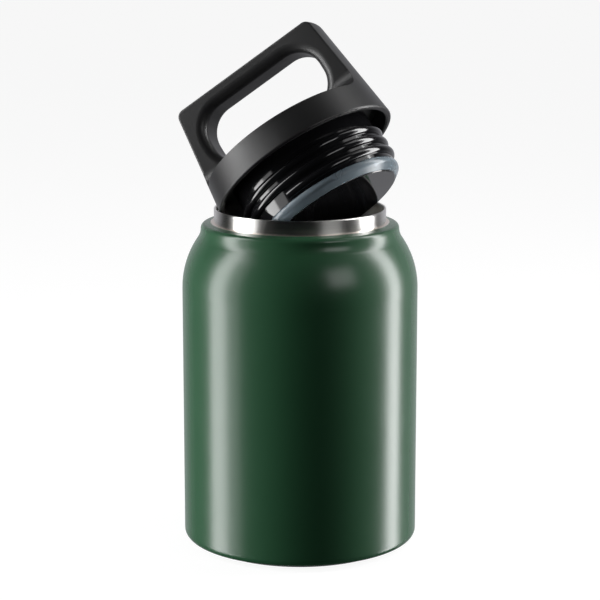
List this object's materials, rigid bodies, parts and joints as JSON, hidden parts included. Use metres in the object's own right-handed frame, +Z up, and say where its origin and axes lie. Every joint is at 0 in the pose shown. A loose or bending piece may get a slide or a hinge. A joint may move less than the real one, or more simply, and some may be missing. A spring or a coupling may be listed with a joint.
{
  "type": "vacuum flask",
  "caption": "Wide-mouth double-walled steel flask with a coated body and a screw lid with a carrying loop, the lid leaning in the open mouth.",
  "frame": {"origin": "centre of the base pad's resting face, on the flask's axis", "axes": "+Z up the flask's axis; -Y is the side that faces the viewer, +X the side the open lid's underside turns to"},
  "size_m": [0.1017, 0.1, 0.2225],
  "materials": {
    "powder_coat": "satin powder coat, fine orange-peel grain",
    "brushed_ring": "bare steel, brushed round the lip",
    "vessel_steel": "electropolished inside",
    "foil": "bright thin foil",
    "getter_metal": "sintered, dull",
    "seal_glass": "fused sealing bead",
    "pad_rubber": "matte, non-slip",
    "soft_black": "fine matte moulding",
    "gloss_black": "high-gloss moulding",
    "silicone": "translucent silicone",
    "foam": "expanded foam"
  },
  "bodies": {
    "flask": {"outer_shell": "powder_coat", "neck_ring": "brushed_ring", "inner_liner": "vessel_steel", "liner_bottom": "vessel_steel", "bottom_plate": "vessel_steel", "vacuum_seal": "seal_glass", "base_pad": "pad_rubber", "radiation_foil": "foil", "getter": "getter_metal", "getter_strap": "vessel_steel"},
    "lid_core": {"lid_gasket": "silicone", "lid_disc": "gloss_black"},
    "lid_top": {"lid_cover": "soft_black", "lid_plug": "gloss_black", "lid_foam": "foam"}
  },
  "joints": [
    {"name": "lid_lift", "type": "slide", "parent": "flask", "child": "lid_core", "axis": [0, 0, 1], "range_m": [0, 0.08]},
    {"name": "lid_turn", "type": "hinge", "parent": "lid_core", "child": "lid_top", "pos_m": [0.0027, -0.00217, 0.1631], "axis": [-0.5024, 0.4031, 0.7649], "continuous": true}
  ]
}
